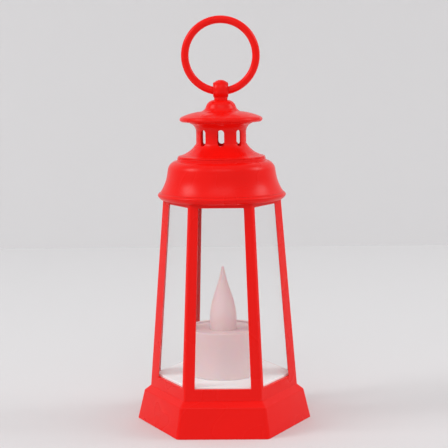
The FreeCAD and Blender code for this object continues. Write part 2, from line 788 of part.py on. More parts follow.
def make_chimney_cap():
    """The round cap: a shallow umbrella that rises into a bell, with a socket for the clip."""
    widest = neck_top + cap_edge_height
    bell_foot = neck_top + cap_slope_height
    spigot_out = neck_bore - press_gap
    spigot_in = spigot_out - cap_spigot_wall
    socket = clip_spigot_radius + clip_socket_gap
    inner_bell = bell_foot_radius - cap_shell
    profile = outline(
        (spigot_in, neck_top - cap_spigot_depth),
        [(spigot_out, neck_top - cap_spigot_depth)],
        [(spigot_out, neck_top)],
        [(cap_radius - cap_underside_inset, neck_top)],
        [(cap_radius - 0.2, widest - 0.5), (cap_radius, widest)],
        [(cap_radius - 0.25, widest + 0.5), (cap_radius - 0.95, widest + 0.95)],
        [(bell_foot_radius + 3.4, bell_foot - 0.62), (bell_foot_radius, bell_foot)],
        [(bell_waist_radius + 0.43, bell_foot + bell_waist_height * 0.5),
         (bell_waist_radius, bell_foot + bell_waist_height)],
        [(bell_shoulder_radius, cap_top - 0.85), (bell_top_radius, cap_top)],
        [(socket, cap_top)],
        [(socket, neck_top + clip_barb_height)],
        [(clip_boss_radius, neck_top + clip_barb_height)],
        [(clip_boss_radius, bell_foot - cap_shell)],
        [(inner_bell, bell_foot - cap_shell)],
        [(spigot_in, neck_top)],
    )
    return revolved(profile)


def make_ring_clip():
    """A barrel-shaped eye on a round foot and a forked spigot, whose prongs close round the ring."""
    half = eye_width / 2
    middle = cap_top + eye_radius
    barrel = outline(
        (0, -half),
        [(eye_end_radius - 0.4, -half)],
        [(eye_end_radius, 0.3 - half)],
        [(eye_radius, 0), (eye_end_radius, half - 0.3)],
        [(eye_end_radius - 0.4, half)],
        [(0, half)],
    )
    eye = revolved(barrel)
    eye.rotate(Vector(0, 0, 0), Vector(0, 1, 0), 90)
    eye.translate(Vector(0, 0, middle))
    spigot_bottom = neck_top
    neck = rod(clip_spigot_radius, spigot_bottom + clip_barb_height, middle)
    foot = rod(clip_foot_radius, cap_top, middle)
    barb = Part.makeCone(clip_spigot_radius - 0.3, clip_spigot_radius + clip_barb, clip_barb_height,
                         Vector(0, 0, spigot_bottom))
    clip = eye.fuse(foot).fuse(neck).fuse(barb)
    slot = block((-clip_spigot_radius - clip_barb - half, clip_spigot_radius + clip_barb + half),
                 (-clip_slot_width / 2, clip_slot_width / 2), (spigot_bottom, eye_height))
    bore = Part.makeCylinder(eye_bore, 2 * eye_width, Vector(-eye_width, 0, eye_height), Vector(1, 0, 0))
    return clip.cut(slot).cut(bore).removeSplitter()


def make_hanging_ring():
    middle = Vector(0, 0, eye_height + ring_radius)
    return Part.makeTorus(ring_radius, ring_tube_radius, middle, Vector(0, 1, 0))


# ---------------------------------------------------------------- write the pieces

pieces = {
    "base_skirt": make_base_skirt,
    "base_plate": make_base_plate,
    "battery_door": make_battery_door,
    "base_screws": make_base_screws,
    "cage": make_cage,
    "floor_tray": make_floor_tray,
    "candle_shell": make_candle_shell,
    "candle_flame": make_candle_flame,
    "led": make_led,
    "led_legs": make_led_legs,
    "led_holder": make_led_holder,
    "circuit_board": make_circuit_board,
    "board_screws": make_board_screws,
    "coin_cell": make_coin_cell,
    "negative_contact": make_negative_contact,
    "positive_contact": make_positive_contact,
    "switch_body": make_switch_body,
    "switch_slider": make_switch_slider,
    "resistor": make_resistor,
    "roof_dome": make_roof_dome,
    "vent_neck": make_vent_neck,
    "chimney_cap": make_chimney_cap,
    "ring_clip": make_ring_clip,
    "hanging_ring": make_hanging_ring,
}

os.makedirs("parts", exist_ok=True)
solids = {name: make() for name, make in pieces.items()}
for number in range(CORNERS):
    solids[f"window_pane_{number + 1}"] = make_pane(number)
for name, shape in solids.items():
    shape.exportStep(f"parts/{name}.step")
    box = shape.BoundBox
    print(f"{name:18s} solids {len(shape.Solids)} valid {shape.isValid()} volume {shape.Volume:9.2f}"
          f" z {box.ZMin:7.2f} to {box.ZMax:7.2f}")
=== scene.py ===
"""The finish of a small hexagonal candle lantern, built round its fixed frame.

Lengths in this file are millimetres until they reach a mesh, which is in metres. The lantern stands
on z = 0 with +Z up, its front faces -Y, and two corners of the hexagon lie on the X axis. A corner
radius runs from the axis to a corner of the hexagon before that corner is rounded.
"""

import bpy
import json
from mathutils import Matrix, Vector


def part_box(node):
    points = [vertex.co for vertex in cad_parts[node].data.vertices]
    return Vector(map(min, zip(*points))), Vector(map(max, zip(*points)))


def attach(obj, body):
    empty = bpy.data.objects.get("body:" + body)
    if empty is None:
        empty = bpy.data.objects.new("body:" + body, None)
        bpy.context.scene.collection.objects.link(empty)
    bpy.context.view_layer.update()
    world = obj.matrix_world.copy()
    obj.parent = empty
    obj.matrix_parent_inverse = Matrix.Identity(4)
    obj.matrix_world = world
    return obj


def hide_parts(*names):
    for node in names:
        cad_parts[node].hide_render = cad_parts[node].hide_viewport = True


bl_info = {
    "name": "Candle Lantern",
    "version": (1, 0, 0),
    "blender": (4, 5, 0),
    "location": "3D View > Sidebar > Lantern",
    "description": "Builds a moulded candle lantern with clear panes, a vented roof and a battery candle",
    "category": "Object",
}

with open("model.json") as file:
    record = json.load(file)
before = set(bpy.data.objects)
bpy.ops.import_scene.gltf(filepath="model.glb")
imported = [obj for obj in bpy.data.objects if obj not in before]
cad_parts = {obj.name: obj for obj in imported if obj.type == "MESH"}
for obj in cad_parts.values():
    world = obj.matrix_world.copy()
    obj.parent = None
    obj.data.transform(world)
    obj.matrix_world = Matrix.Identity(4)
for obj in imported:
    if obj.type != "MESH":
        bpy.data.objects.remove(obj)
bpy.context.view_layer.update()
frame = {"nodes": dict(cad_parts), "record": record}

import json
import math

import bmesh
import bpy
from bpy.props import FloatProperty, FloatVectorProperty, PointerProperty
from mathutils import Matrix, Vector
from mathutils.geometry import interpolate_bezier

MM = 0.001
COS30 = math.cos(math.radians(30.0))
SIDES = 6
CORNER_STEPS = 8     # along the rounding of each corner of a hexagon
FRONT = 270.0        # the direction of the front, in degrees round the Z axis
WELD = 1e-4          # points closer together than this, in millimetres, become one


def linear(hex_colour):
    """Linear red, green and blue of an sRGB hex colour such as #d9140f."""
    channels = [int(hex_colour[i:i + 2], 16) / 255.0 for i in (1, 3, 5)]
    return tuple(c / 12.92 if c <= 0.04045 else ((c + 0.055) / 1.055) ** 2.4 for c in channels)


def node_top(name):
    """Height of a node's top."""
    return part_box(name)[1].z / MM


def node_bottom(name):
    """Height of a node's foot."""
    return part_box(name)[0].z / MM


def node_radius(name):
    """Reach of a node from the axis, along X."""
    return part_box(name)[1].x / MM


def corner_radius_of(name, edge_radius):
    """Corner radius of a hexagonal node whose corners are rounded by edge_radius."""
    return node_radius(name) + edge_radius * (1.0 / COS30 - 1.0)


# ---- settings

def colour(name, description, hex_colour):
    return FloatVectorProperty(name=name, description=description, default=linear(hex_colour),
                               size=3, subtype="COLOR", min=0.0, max=1.0)


def length(name, description, millimetres):
    return FloatProperty(name=name, description=description, default=millimetres * MM, min=0.0,
                         unit="LENGTH", subtype="DISTANCE", precision=5)


class LanternColours(bpy.types.PropertyGroup):
    """Colours that a maker would choose."""
    shell: colour("Shell", "Plastic of the roof, cage, base and ring", "#f6130c")
    tray: colour("Tray", "Plastic of the tray under the candle", "#f6fdfd")
    sheet: colour("Panes", "Clear sheet of the panes", "#dde2e2")
    candle: colour("Candle", "Milky plastic of the candle and its flame", "#ffe9ea")
    board: colour("Board", "Solder mask of the circuit board", "#1d5f35")
    copper: colour("Copper", "Copper tracks under the solder mask", "#4a8a4c")
    switch: colour("Switch", "Nylon of the switch", "#1b1b1d")
    lamp: colour("Lamp", "Epoxy of the lamp", "#f4e3c0")
    lacquer: colour("Lacquer", "Lacquer of the resistor", "#c9a573")
    backdrop: colour("Backdrop", "Cards under and behind the lantern", "#e2e1e2")


class LanternSizes(bpy.types.PropertyGroup):
    """Sizes of the moulded pieces and their finish."""
    skirt_wall: length("Skirt wall", "Wall of the hexagonal base", 1.5)
    skirt_edge: length("Skirt corner", "Rounding of the base's upright corners", 1.6)
    ledge_height: length("Ledge height", "Height of the sloping ledge on the base", 1.75)
    ledge_step: length("Ledge step", "Corner radius lost over that ledge", 2.3)
    cage_wall: length("Cage wall", "Wall of the windowed cage", 1.3)
    cage_edge: length("Cage corner", "Rounding of the cage's upright corners", 1.1)
    sill: length("Sill", "Height of the cage below its windows", 3.85)
    lintel: length("Lintel", "Height of the cage above its windows", 2.85)
    post_foot: length("Post foot", "Width of a front or back post at the sill", 3.33)
    post_head: length("Post head", "Width of a front or back post at the lintel", 2.75)
    post_return: length("Post return", "Reach of those posts round their corners, along X", 0.8)
    side_post_foot: length("Side post foot", "Width along X of a side post at the sill", 2.95)
    side_post_head: length("Side post head", "Width along X of a side post at the lintel", 2.5)
    pane: length("Pane", "Thickness of a clear pane", 0.5)
    vent_width: length("Vent width", "Width of a slot in the neck", 2.2)
    vent_height: length("Vent height", "Height of a slot in the neck", 5.4)
    vent_foot: length("Vent foot", "Height of the slots above the dome", 5.2)
    neck_wall: length("Neck wall", "Wall of the vented neck", 0.8)
    edge: length("Moulded edge", "Rounding of the outer edges", 0.25)
    fine_edge: length("Fine edge", "Rounding of the small pieces' edges", 0.12)
    grain: length("Mould grain", "Width of one grain of the spark-eroded mould", 0.35)
    wall_distance: length("Wall distance", "From the lantern to the card that stands behind it", 408.4)


def size(name):
    """A size from the panel's settings, in millimetres."""
    return getattr(bpy.context.scene.lantern_sizes, name) / MM


def paint(name):
    """A colour from the panel's settings, with full alpha."""
    return (*getattr(bpy.context.scene.lantern_colours, name), 1.0)


# ---- mesh building

def arc(start, through, end, steps=10):
    """Points on the circle from start through a point to end, without start."""
    (ax, ay), (bx, by), (cx, cy) = start, through, end
    a, b, c = ax * ax + ay * ay, bx * bx + by * by, cx * cx + cy * cy
    scale = 2 * (ax * (by - cy) + bx * (cy - ay) + cx * (ay - by))
    x = (a * (by - cy) + b * (cy - ay) + c * (ay - by)) / scale
    y = (a * (cx - bx) + b * (ax - cx) + c * (bx - ax)) / scale
    radius = math.hypot(ax - x, ay - y)
    first = math.atan2(ay - y, ax - x)
    half_way = (math.atan2(by - y, bx - x) - first) % math.tau
    sweep = (math.atan2(cy - y, cx - x) - first) % math.tau
    if half_way > sweep:
        sweep -= math.tau
    angles = [first + sweep * i / steps for i in range(1, steps + 1)]
    return [(x + radius * math.cos(angle), y + radius * math.sin(angle)) for angle in angles]


def outline(start, *steps):
    """Points of an outline of (radius, height).

    A step of one point is a straight run, and a step of two is an arc through the first point
    to the second.
    """
    points = [start]
    for step in steps:
        points += step if len(step) == 1 else arc(points[-1], *step)
    return points


def circle(radius, height, count, first=FRONT):
    """A level circle of points, of which the first lies in the direction first."""
    angles = [math.radians(first + 360.0 * i / count) for i in range(count)]
    return [(radius * math.cos(angle), radius * math.sin(angle), height) for angle in angles]


def hexagon(corner_radius, height, edge_radius=0.3):
    """A level hexagon of points, each corner rounded by an arc of edge_radius."""
    reach = corner_radius - edge_radius / COS30
    points = []
    for i in range(SIDES):
        corner = math.radians(60.0 * i)
        for j in range(CORNER_STEPS + 1):
            angle = corner + math.radians(60.0 * j / CORNER_STEPS - 30.0)
            points.append((reach * math.cos(corner) + edge_radius * math.cos(angle),
                           reach * math.sin(corner) + edge_radius * math.sin(angle), height))
    return points


def hexagon_circle(radius, height):
    """A level circle with as many points as a hexagon, so that a skin can join the two."""
    count = SIDES * (CORNER_STEPS + 1)
    return circle(radius, height, count, first=-180.0 / SIDES + 180.0 / count)


def skin(rings, closed=True, capped=False):
    """Points and quads between rings of equally many points.

    Closed joins the last ring to the first, and capped fills both ends.
    """
    points = [point for ring in rings for point in ring]
    count = len(rings[0])
    faces = []
    for i in range(len(rings) if closed else len(rings) - 1):
        here, there = i * count, (i + 1) % len(rings) * count
        for j in range(count):
            k = (j + 1) % count
            faces.append((here + j, here + k, there + k, there + j))
    if capped:
        last = (len(rings) - 1) * count
        faces.append(tuple(reversed(range(count))))
        faces.append(tuple(range(last, last + count)))
    return points, faces


def lathe(profile, closed=True, count=144):
    """A profile of (radius, height) turned round the axis."""
    return skin([circle(radius, height, count) for radius, height in profile], closed)


def joined(*parts):
    """Several (points, faces) pairs as one."""
    points, faces = [], []
    for more_points, more_faces in parts:
        faces += [tuple(index + len(points) for index in face) for face in more_faces]
        points += more_points
    return points, faces


def moved(part, matrix):
    """A (points, faces) pair moved by a matrix in millimetres."""
    points, faces = part
    return [tuple(matrix @ Vector(point)) for point in points], faces


def new_object(name, data):
    """A new object in the scene that holds a mesh, a light or a camera."""
    obj = bpy.data.objects.new(name, data)
    bpy.context.scene.collection.objects.link(obj)
    return obj


def mesh_object(name, part, weld=WELD):
    """A new object from a (points, faces) pair in millimetres, welded, with its faces turned out."""
    points, faces = part
    mesh = bpy.data.meshes.new(name)
    mesh.from_pydata([tuple(value * MM for value in point) for point in points], [], faces)
    work = bmesh.new()
    work.from_mesh(mesh)
    bmesh.ops.remove_doubles(work, verts=work.verts, dist=weld * MM)
    bmesh.ops.recalc_face_normals(work, faces=work.faces)
    work.to_mesh(mesh)
    work.free()
    return new_object(name, mesh)


def boolean(obj, operation, tool):
    """Cuts a tool object from obj, or joins it on, and removes the tool."""
    modifier = obj.modifiers.new("boolean", "BOOLEAN")
    modifier.operation = operation
    modifier.solver = "EXACT"
    modifier.object = tool
    graph = bpy.context.evaluated_depsgraph_get()
    graph.update()
    mesh = bpy.data.meshes.new_from_object(obj.evaluated_get(graph))
    obj.modifiers.clear()
    obj.data = mesh
    bpy.data.objects.remove(tool)


def soften(obj, rounding, angle=24.0, steps=3):
    """Rounds the edges that turn by more than angle, and shades what is left smooth."""
    obj.data.set_sharp_from_angle(angle=math.radians(angle))
    for face in obj.data.polygons:
        face.use_smooth = True
    bevel = obj.modifiers.new("rounded edges", "BEVEL")
    bevel.width = rounding * MM
    bevel.segments = steps
    bevel.limit_method = "ANGLE"
    bevel.angle_limit = math.radians(angle)
    bevel.use_clamp_overlap = False
    bevel.harden_normals = True


def place_piece(obj, node, body="lantern"):
    """Lets a finished piece stand for a node, on its body, with the material of the node's slot."""
    dress(obj, SLOTS[node])
    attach(obj, body)
    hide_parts(node)


# ---- materials

def add(tree, kind, inputs, output=0, **settings):
    """Adds a node with its settings, sets or links its inputs, and returns one of its outputs."""
    made = tree.nodes.new("ShaderNode" + kind)
    for name, value in settings.items():
        setattr(made, name, value)
    for socket, value in inputs.items():
        if isinstance(value, bpy.types.NodeSocket):
            tree.links.new(value, made.inputs[socket])
        else:
            made.inputs[socket].default_value = value
    return made.outputs[output] if made.outputs else None


def blots(place, width, detail=2.0):
    """Inputs for a pattern of blots that are about width millimetres wide.

    Grain, frosting, fibres and brushing are drawn coarser than real ones, which are too fine to show.
    """
    return {"Vector": place, "Scale": 1.0 / (width * MM), "Detail": detail}


def spread(low, high):
    """Inputs that stretch the middle of such a pattern's range to run from low to high."""
    return {"From Min": 0.3, "From Max": 0.7, "To Min": low, "To Max": high}


def start_material(name):
    """A new empty material, its node tree, and the place on the object in metres."""
    material = bpy.data.materials.new(name)
    material.use_nodes = True
    tree = material.node_tree
    tree.nodes.clear()
    return material, tree, add(tree, "TexCoord", {}, "Object")


def finish_material(material, tree, inputs, height, strength=0.2, depth=0.02):
    """Adds the shader with its bump, and the output. The depth is in millimetres."""
    normal = add(tree, "Bump", {"Height": height, "Strength": strength, "Distance": depth * MM})
    surface = add(tree, "BsdfPrincipled", {**inputs, "Normal": normal})
    add(tree, "OutputMaterial", {"Surface": surface})
    return material


def moulded_abs():
    """ABS, injection moulded in a spark-eroded tool: a strong colour under a soft satin skin."""
    material, tree, place = start_material("Moulded ABS, satin")
    grain = add(tree, "TexNoise", blots(place, size("grain")))
    flow = add(tree, "TexNoise", blots(place, 14.0, 1.0))
    shade = add(tree, "MapRange", {"Value": flow, **spread(0.985, 1.01)})
    tone = add(tree, "HueSaturation", {"Value": shade, "Color": paint("shell")})
    gloss = add(tree, "MapRange", {"Value": flow, **spread(0.25, 0.31)})
    return finish_material(material, tree, {"Base Color": tone, "Roughness": gloss, "IOR": 1.53,
                                            "Specular IOR Level": 0.14}, grain, 0.25)


def clear_sheet():
    """PVC, extruded clear sheet: nearly invisible, but for a faint grey and a glint at a slant."""
    material, tree, place = start_material("Clear PVC sheet, polished")
    ripple = add(tree, "TexNoise", blots(place, 9.0, 1.0))
    return finish_material(material, tree, {"Base Color": paint("sheet"), "Roughness": 0.06,
                                            "IOR": 1.5, "Alpha": 0.02}, ripple, 0.15, 0.05)


def milky_plastic():
    """Polypropylene, moulded milky and frosted: light soaks in and the inside shows faintly.

    Its faint glow is painted light, which stands for the light that comes through it from behind.
    """
    material, tree, place = start_material("Milky polypropylene, frosted")
    haze = add(tree, "TexNoise", blots(place, 5.0, 3.0))
    gloss = add(tree, "MapRange", {"Value": haze, **spread(0.44, 0.56)})
    grain = add(tree, "TexNoise", blots(place, 0.3))
    return finish_material(material, tree,
                           {"Base Color": paint("candle"), "Roughness": gloss, "IOR": 1.49,
                            "Subsurface Weight": 0.3, "Subsurface Scale": 2.5 * MM,
                            # painted glow: emission in the candle's own colour, though the candle is not lit
                            "Emission Color": paint("candle"), "Emission Strength": 0.025,
                            "Alpha": 0.74}, grain)


def satin_styrene():
    """Polystyrene, moulded white: an even, slightly glossy skin that picks up the red round it.

    Its faint glow is painted light, which stands for the light that soaks through its thin walls.
    """
    material, tree, place = start_material("White polystyrene, satin")
    grain = add(tree, "TexNoise", blots(place, 0.4))
    gloss = add(tree, "MapRange", {"Value": grain, **spread(0.35, 0.45)})
    return finish_material(material, tree,
                           {"Base Color": paint("tray"), "Roughness": gloss, "IOR": 1.55,
                            # painted glow: emission in the tray's own colour, which brightens it beyond what
                            # the lights give
                            "Emission Color": paint("tray"), "Emission Strength": 0.09}, grain)


def plated_metal(name, hex_colour, roughness, brush):
    """Plated metal: a bright skin whose fine brushing, brush millimetres wide, spreads the glint."""
    material, tree, place = start_material(name)
    stretched = add(tree, "Mapping", {"Vector": place, "Scale": (1.0 / 12.0, 1.0, 1.0)})
    lines = add(tree, "TexNoise", blots(stretched, brush, 4.0))
    gloss = add(tree, "MapRange", {"Value": lines, **spread(roughness - 0.06, roughness + 0.08)})
    return finish_material(material, tree, {"Base Color": (*linear(hex_colour), 1.0), "Metallic": 1.0,
                                            "Roughness": gloss}, lines, 0.2, 0.01)


def board_laminate():
    """Epoxy-glass laminate, solder-masked: a glossy green lacquer with tracks raised under it."""
    material, tree, place = start_material("Epoxy-glass laminate, solder mask")
    tracks = add(tree, "TexBrick",
                 {"Vector": place, "Scale": 1.0, "Brick Width": 5.5 * MM, "Row Height": 1.8 * MM,
                  "Mortar Size": 0.35 * MM, "Color1": paint("board"), "Color2": paint("board"),
                  "Mortar": paint("copper")}, "Color")
    weave = add(tree, "TexNoise", blots(place, 0.8))
    gloss = add(tree, "MapRange", {"Value": weave, **spread(0.22, 0.32)})
    height = add(tree, "Math", {0: tracks.node.outputs["Fac"], 1: weave}, operation="ADD")
    return finish_material(material, tree, {"Base Color": tracks, "Roughness": gloss, "IOR": 1.55},
                           height, 0.3, 0.03)


def black_nylon():
    """Nylon, moulded black with glass fibre: matt, with a fine cloudy skin."""
    material, tree, place = start_material("Glass-filled nylon, moulded")
    fibre = add(tree, "TexNoise", blots(place, 0.25, 4.0))
    gloss = add(tree, "MapRange", {"Value": fibre, **spread(0.5, 0.66)})
    return finish_material(material, tree, {"Base Color": paint("switch"), "Roughness": gloss,
                                            "IOR": 1.53}, fibre, 0.3)


def lamp_epoxy():
    """Epoxy, cast in a polished cup: a warm, clear, very glossy lens."""
    material, tree, place = start_material("Cast epoxy, clear")
    swirl = add(tree, "TexNoise", blots(place, 2.0))
    gloss = add(tree, "MapRange", {"Value": swirl, **spread(0.06, 0.12)})
    return finish_material(material, tree, {"Base Color": paint("lamp"), "Roughness": gloss,
                                            "IOR": 1.54, "Alpha": 0.55}, swirl, 0.1)


def banded_lacquer():
    """Lacquer, dipped over a ceramic rod: a glossy tan coat with painted bands."""
    material, tree, place = start_material("Dipped lacquer, banded")
    along = add(tree, "SeparateXYZ", {"Vector": place}, "Y")
    stripe = add(tree, "Math", {0: along, 1: 0.9 * MM}, operation="PINGPONG")
    mask = add(tree, "MapRange", {"Value": stripe, "From Min": 0.2 * MM, "From Max": 0.25 * MM,
                                  "To Min": 1.0, "To Max": 0.0})
    bands = (*linear("#5b3a1e"), 1.0)
    mixed = add(tree, "Mix", {0: mask, 6: paint("lacquer"), 7: bands}, 2, data_type="RGBA")
    swirl = add(tree, "TexNoise", blots(place, 0.5))
    return finish_material(material, tree, {"Base Color": mixed, "Roughness": 0.24, "IOR": 1.5}, swirl)


def card_with_painted_shade():
    """Card, printed matt: a pale ground with no gloss, with painted shade that makes it a little greyer
    towards the top.
    """
    material, tree, place = start_material("Card with painted shade, matt")
    height = add(tree, "SeparateXYZ", {"Vector": place}, "Z")
    # painted shade: the card's colour falls by 7 % from the floor to 170 mm up, as if less light reached it
    # there
    painted_darkening = add(tree, "MapRange", {"Value": height, "From Min": 0.0, "From Max": 170.0 * MM,
                                  "To Min": 1.0, "To Max": 0.93})
    tone = add(tree, "HueSaturation", {"Value": painted_darkening, "Color": paint("backdrop")})
    fibre = add(tree, "TexNoise", blots(place, 3.0, 3.0))
    return finish_material(material, tree, {"Base Color": tone, "Roughness": 0.8,
                                            "Specular IOR Level": 0.2}, fibre, 0.05, 0.05)


MATERIALS = {
    "red_plastic": moulded_abs,
    "clear_sheet": clear_sheet,
    "milky_plastic": milky_plastic,
    "white_plastic": satin_styrene,
    "green_laminate": board_laminate,
    "black_plastic": black_nylon,
    "lamp_resin": lamp_epoxy,
    "resistor_lacquer": banded_lacquer,
    "plated_steel": lambda: plated_metal("Zinc-plated steel, bright", "#b9bcc0", 0.32, 0.15),
    "nickel_steel": lambda: plated_metal("Nickel-plated steel, brushed", "#c9c5bb", 0.26, 0.1),
    "tinned_wire": lambda: plated_metal("Tinned copper wire, drawn", "#cfcdc8", 0.3, 0.08),
    "matt_card": card_with_painted_shade,
}
made_materials = {}


def dress(obj, name):
    """Gives an object one material, which is made the first time that it is needed."""
    if name not in made_materials:
        made_materials[name] = MATERIALS[name]()
    obj.data.materials.clear()
    obj.data.materials.append(made_materials[name])


# ---- places from the frame

COLLAR = 1.05          # height of the low step under the neck
RIM_OVERHANG = 1.75    # of the roof beyond the cage's corner radius
DECK = 1.8             # thickness of the deck under the cage
SEAT = 1.5             # thickness of the flange that carries the tray
NECK_RADIUS = 8.55     # of the upright part of the neck
NECK_SPIGOT = 1.17     # by how much the spigot under the neck is wider than that
deck_top = node_top("base_skirt")
cage_top = node_top("cage")
collar_top = node_top("roof_dome")
dome_top = collar_top - COLLAR
neck_top = node_top("vent_neck")
cap_top = node_top("chimney_cap")
tray_top = node_bottom("candle_shell")
candle_top = node_top("candle_shell")
rim_radius = node_radius("roof_dome")
SLOTS = {part["node"]: part["material_slot"] for part in frame["record"]["subparts"]}


def cage_foot():
    """Corner radius of the cage where it stands on the deck."""
    return corner_radius_of("cage", size("cage_edge"))


def cage_head():
    """Corner radius of the cage under the roof."""
    return rim_radius - RIM_OVERHANG


def cage_radius(height):
    """Corner radius of the outside of the cage at a height."""
    share = (height - deck_top) / (cage_top - deck_top)
    return cage_foot() + (cage_head() - cage_foot()) * share


# ---- pieces

class LANTERN_OT_base(bpy.types.Operator):
    """Build the hexagonal skirt with its sloping ledge, its deck and its screw bosses"""
    bl_idname = "lantern.base"
    bl_label = "Base skirt"

    def execute(self, context):
        opening_step, bosses = 7.5, 3
        screw_head, pilot, boss_radius, boss_foot = 1.9, 1.02, 2.2, 2.2
        edge = size("skirt_edge")
        wall = size("skirt_wall") / COS30
        foot = corner_radius_of("base_skirt", edge)
        shoulder = cage_foot() + size("ledge_step")
        shoulder_top = deck_top - size("ledge_height")
        deck_bottom = deck_top - DECK
        opening = shoulder - opening_step
        rings = [hexagon(foot, 0.0, edge), hexagon(shoulder, shoulder_top, edge),
                 hexagon(cage_foot(), deck_top, edge),
                 hexagon(opening, deck_top), hexagon(opening, deck_bottom),
                 hexagon(shoulder - wall, deck_bottom), hexagon(foot - wall, 0.0)]
        parts = [skin(rings)]
        reach = node_radius("base_screws") - screw_head
        boss = lathe([(pilot, boss_foot), (boss_radius, boss_foot), (boss_radius, deck_bottom),
                      (pilot, deck_bottom)], count=32)
        for i in range(bosses):
            turn = Matrix.Rotation(math.tau * i / bosses, 4, "Z")
            parts.append(moved(boss, turn @ Matrix.Translation((reach, 0.0, 0.0))))
        skirt = mesh_object("base_housing", joined(*parts))
        soften(skirt, size("edge"))
        place_piece(skirt, "base_skirt")
        return {"FINISHED"}


def softened_copy(node, name, body, rounding):
    """A piece made from a node's mesh, with its flats joined up and its edges rounded."""
    mesh = frame["nodes"][node].data.copy()
    work = bmesh.new()
    work.from_mesh(mesh)
    bmesh.ops.remove_doubles(work, verts=work.verts, dist=WELD * MM)
    bmesh.ops.dissolve_limit(work, angle_limit=math.radians(0.5), verts=work.verts, edges=work.edges)
    work.to_mesh(mesh)
    work.free()
    piece = new_object(name, mesh)
    soften(piece, rounding, angle=35.0, steps=2)
    place_piece(piece, node, body)


class LANTERN_OT_underside(bpy.types.Operator):
    """Build the bottom plate, the battery door, their screws and the switch's knob"""
    bl_idname = "lantern.underside"
    bl_label = "Underside"

    def execute(self, context):
        fine = size("fine_edge")
        softened_copy("base_plate", "bottom_plate", "lantern", fine)
        softened_copy("battery_door", "cell_door", "door", fine)
        softened_copy("base_screws", "plate_screws", "lantern", fine / 2)
        softened_copy("switch_slider", "switch_knob", "switch", fine / 2)
        return {"FINISHED"}


def prism(low_left, low_right, high_left, high_right, near, far):
    """A block with a four-sided outline in the XZ plane, between y = near and y = far."""
    low, high = deck_top + size("sill"), cage_top - size("lintel")
    corners = [(low_left, low), (low_right, low), (high_right, high), (high_left, high)]
    return skin([[(x, y, z) for x, z in corners] for y in (near, far)], closed=False, capped=True)


class LANTERN_OT_cage(bpy.types.Operator):
    """Build the cage: a sill, six leaning posts and a lintel in one moulding"""
    bl_idname = "lantern.cage"
    bl_label = "Cage"

    def execute(self, context):
        spigot_step, spigot_wall = 7.6, 1.6
        sunk = 0.4             # the skin runs into the deck, so that no groove shows round it
        cutter_depth = 2.0     # how far inside the wall the front and back windows' cutters start
        edge = size("cage_edge")
        wall = size("cage_wall") / COS30
        seat_top = deck_top + SEAT
        spigot_bottom = node_bottom("cage")
        spigot = cage_foot() + size("ledge_step") - spigot_step
        spigot_bore = spigot - spigot_wall
        hidden_foot = deck_top - sunk
        rings = [hexagon(spigot, spigot_bottom), hexagon(spigot, hidden_foot),
                 hexagon(cage_foot(), hidden_foot, edge), hexagon(cage_head(), cage_top, edge),
                 hexagon(cage_head() - wall, cage_top), hexagon(cage_radius(seat_top) - wall, seat_top),
                 hexagon(spigot_bore, seat_top), hexagon(spigot_bore, spigot_bottom)]
        cage = mesh_object("window_cage", skin(rings))
        low = cage_radius(deck_top + size("sill"))
        high = cage_radius(cage_top - size("lintel"))
        low_half, high_half = low / 2 - size("post_foot"), high / 2 - size("post_head")
        low_near, high_near = low / 2 + size("post_return"), high / 2 + size("post_return")
        low_far, high_far = low - size("side_post_foot"), high - size("side_post_head")
        near = (high - wall) * COS30 - cutter_depth
        windows = []
        for facing in (-1, 1):
            windows.append(prism(-low_half, low_half, -high_half, high_half, facing * near, facing * low))
            windows.append(prism(low_near, low_far, high_near, high_far, 0.0, facing * low))
            windows.append(prism(-low_far, -low_near, -high_far, -high_near, 0.0, facing * low))
        boolean(cage, "DIFFERENCE", mesh_object("windows", joined(*windows)))
        soften(cage, size("edge"), angle=20.0)
        place_piece(cage, "cage")
        return {"FINISHED"}


class LANTERN_OT_panes(bpy.types.Operator):
    """Build the six clear panes inside the cage, mitred against each other"""
    bl_idname = "lantern.panes"
    bl_label = "Window panes"

    def execute(self, context):
        gap, mitre_gap, top_gap = 0.05, 0.2, 0.3
        low, high = tray_top, cage_top - top_gap
        outside = (size("cage_wall") + gap) / COS30
        inside = outside + size("pane") / COS30
        slide = 2 * mitre_gap / COS30
        for i in range(SIDES):
            middle = FRONT + 60.0 * i
            along = Vector((-math.sin(math.radians(middle)), math.cos(math.radians(middle)), 0.0))
            rings = []
            for height in (low, high):
                ring = []
                for inset, sides in ((outside, (-1, 1)), (inside, (1, -1))):
                    for side in sides:
                        corner = circle(cage_radius(height) - inset, height, 1, middle + 30.0 * side)[0]
                        ring.append(tuple(Vector(corner) - along * slide * side))
                rings.append(ring)
            pane = mesh_object(f"pane_{i + 1}", skin(rings, closed=False, capped=True))
            soften(pane, size("fine_edge") / 2, steps=2)
            place_piece(pane, f"window_pane_{i + 1}")
        return {"FINISHED"}


class LANTERN_OT_tray(bpy.types.Operator):
    """Build the white tray with its turned-down rim and the ring that locates the candle"""
    bl_idname = "lantern.tray"
    bl_label = "Floor tray"

    def execute(self, context):
        rim_wall, thickness, bore = 1.2, 1.4, 3.1
        ring_step, ring_wall, corner_rounding = 1.25, 1.2, 1.0
        outer = node_radius("floor_tray")
        inner = outer - rim_wall / COS30
        seat_top, under = node_bottom("floor_tray"), tray_top - thickness
        ring, ring_top = node_radius("candle_shell") - ring_step, node_top("floor_tray")
        ring_bore = ring - ring_wall
        rings = [hexagon(outer, seat_top, corner_rounding), hexagon(outer, tray_top, corner_rounding)]
        rings += [hexagon_circle(radius, height) for radius, height in
                  ((ring, tray_top), (ring, ring_top), (ring_bore, ring_top), (ring_bore, tray_top),
                   (bore, tray_top), (bore, under))]
        rings += [hexagon(inner, under), hexagon(inner, seat_top)]
        tray = mesh_object("tray", skin(rings))
        soften(tray, size("edge"))
        place_piece(tray, "floor_tray")
        return {"FINISHED"}


